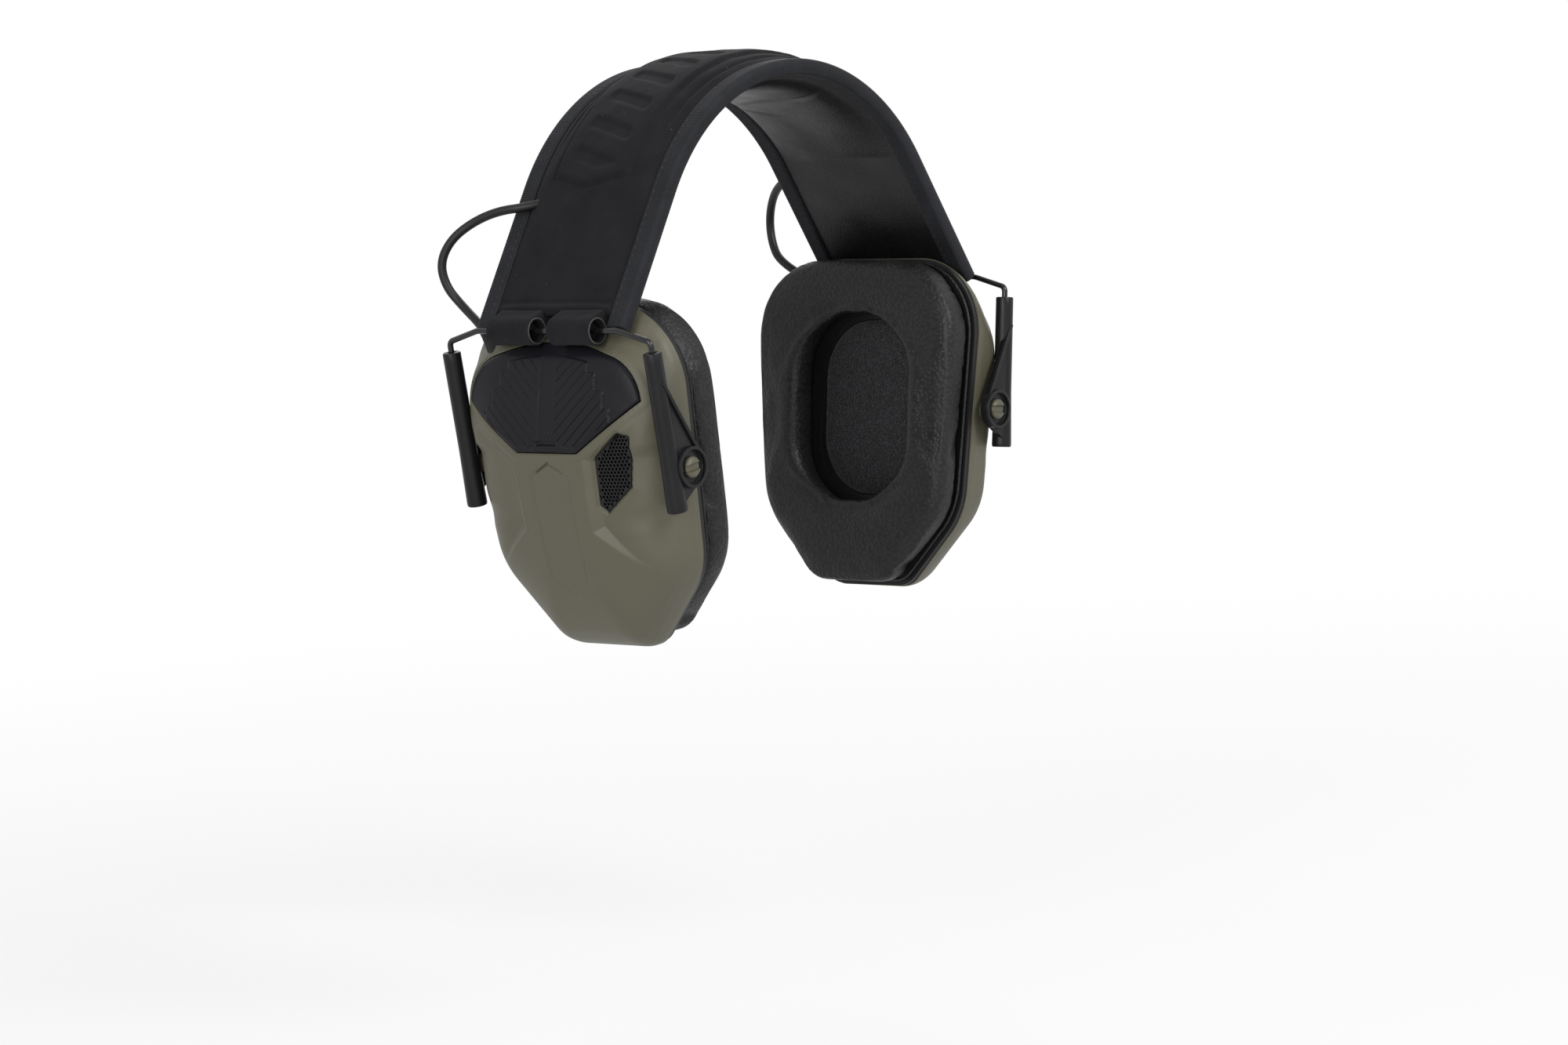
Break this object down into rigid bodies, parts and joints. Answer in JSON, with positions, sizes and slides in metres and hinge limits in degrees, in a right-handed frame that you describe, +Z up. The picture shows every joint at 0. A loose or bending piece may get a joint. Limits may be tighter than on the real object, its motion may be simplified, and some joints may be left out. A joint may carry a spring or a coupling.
{
  "type": "electronic hearing protection headset",
  "caption": "Over-ear electronic hearing-protection headset with padded cloth headband, wire stirrups, sliding arms and tilting olive cups.",
  "frame": {"origin": "underside of the head pad at the crown, on the headset's middle plane", "axes": "+Z up through the crown, +X to the wearer's left, -Y to the wearer's front"},
  "size_m": [0.1997, 0.1037, 0.1923],
  "materials": {
    "cover_cloth": "matte knitted cloth",
    "black_nylon": "fine grained, satin",
    "pad_leather": "smooth leatherette, soft sheen",
    "binding_ribbon": "ribbed ribbon",
    "lead_jacket": "matte",
    "coated_wire": "gloss black coating",
    "olive_shell": "matte moulded",
    "black_plastic": "moulded satin",
    "steel_screw": "zinc plated",
    "cushion_leather": "pebbled leatherette",
    "open_foam": "open-cell foam",
    "driver_can": "satin",
    "gloss_mesh": "gloss moulded mesh",
    "soft_rubber": "matte",
    "cover_rubber": "smooth soft-touch",
    "cell_jacket": "plain satin sleeve",
    "contact_metal": "nickel plated",
    "board_green": "solder mask",
    "key_rubber": "matte"
  },
  "bodies": {
    "headband": {"headband_cover": "cover_cloth", "headband_core": "black_nylon", "headband_pad": "pad_leather", "rear_edge_binding": "binding_ribbon", "front_edge_binding": "binding_ribbon", "right_hinge_loops": "cover_cloth", "left_hinge_loops": "cover_cloth", "headband_lead": "lead_jacket", "right_lead_upper": "lead_jacket", "left_lead_upper": "lead_jacket"},
    "right_stirrup": {"right_stirrup_wire": "coated_wire", "right_lead_middle": "lead_jacket"},
    "right_arms": {"right_front_slider_arm": "black_nylon", "right_rear_slider_arm": "black_nylon", "right_lead_lower": "lead_jacket"},
    "right_cup": {"right_cup_shell": "olive_shell", "right_baffle_plate": "black_plastic", "right_baffle_screws": "steel_screw", "right_cushion_ring": "black_plastic", "right_cushion": "cushion_leather", "right_foam_liner": "open_foam", "right_speaker": "driver_can", "right_speaker_bracket": "black_plastic", "right_mic_grille": "gloss_mesh", "right_mic_capsule": "steel_screw", "right_mic_boot": "soft_rubber", "right_cable_boot": "soft_rubber", "battery_tray": "black_plastic", "battery_cells": "cell_jacket", "battery_contacts": "contact_metal"},
    "left_stirrup": {"left_stirrup_wire": "coated_wire", "left_lead_middle": "lead_jacket"},
    "left_arms": {"left_front_slider_arm": "black_nylon", "left_rear_slider_arm": "black_nylon", "left_lead_lower": "lead_jacket"},
    "left_cup": {"left_cup_shell": "olive_shell", "left_baffle_plate": "black_plastic", "left_baffle_screws": "steel_screw", "left_cushion_ring": "black_plastic", "left_cushion": "cushion_leather", "left_foam_liner": "open_foam", "left_speaker": "driver_can", "left_speaker_bracket": "black_plastic", "left_mic_grille": "gloss_mesh", "left_mic_capsule": "steel_screw", "left_mic_boot": "soft_rubber", "left_cable_boot": "soft_rubber", "control_cover": "cover_rubber", "circuit_board": "board_green", "aux_jack": "black_plastic"},
    "battery_cover": {"battery_cover": "cover_rubber"},
    "volume_up_key": {"volume_up_key": "key_rubber"},
    "volume_down_key": {"volume_down_key": "key_rubber"},
    "power_key": {"power_key": "key_rubber"}
  },
  "joints": [
    {"name": "right_fold", "type": "hinge", "parent": "headband", "child": "right_stirrup", "pos_m": [-0.09413, 0, -0.07144], "axis": [0, 1, 0], "range_deg": [-1, 60], "deforming": ["right_lead_upper"]},
    {"name": "right_slide", "type": "slide", "parent": "right_stirrup", "child": "right_arms", "axis": [0.1335, 0, -0.9911], "range_m": [0, 0.026], "deforming": ["right_lead_middle"]},
    {"name": "right_tilt", "type": "hinge", "parent": "right_arms", "child": "right_cup", "pos_m": [-0.08115, 0, -0.11662], "axis": [0, 1, 0], "range_deg": [-0.5, 12], "deforming": ["right_lead_lower"]},
    {"name": "left_fold", "type": "hinge", "parent": "headband", "child": "left_stirrup", "pos_m": [0.09413, 0, -0.07144], "axis": [0, 1, 0], "range_deg": [-60, 1], "deforming": ["left_lead_upper"]},
    {"name": "left_slide", "type": "slide", "parent": "left_stirrup", "child": "left_arms", "axis": [-0.1335, 0, -0.9911], "range_m": [0, 0.026], "deforming": ["left_lead_middle"]},
    {"name": "left_tilt", "type": "hinge", "parent": "left_arms", "child": "left_cup", "pos_m": [0.08115, 0, -0.11662], "axis": [0, 1, 0], "range_deg": [-12, 0.5], "deforming": ["left_lead_lower"]},
    {"name": "battery_cover_lift", "type": "slide", "parent": "right_cup", "child": "battery_cover", "axis": [-0.9911, 0, -0.1335], "range_m": [0, 0.012]},
    {"name": "volume_up_key_press", "type": "slide", "parent": "left_cup", "child": "volume_up_key", "axis": [-0.9911, 0, 0.1335], "range_m": [0, 0.0008], "stiffness_N_per_m": 900},
    {"name": "volume_down_key_press", "type": "slide", "parent": "left_cup", "child": "volume_down_key", "axis": [-0.9911, 0, 0.1335], "range_m": [0, 0.0008], "stiffness_N_per_m": 900},
    {"name": "power_key_press", "type": "slide", "parent": "left_cup", "child": "power_key", "axis": [-0.9911, 0, 0.1335], "range_m": [0, 0.0008], "stiffness_N_per_m": 900}
  ]
}
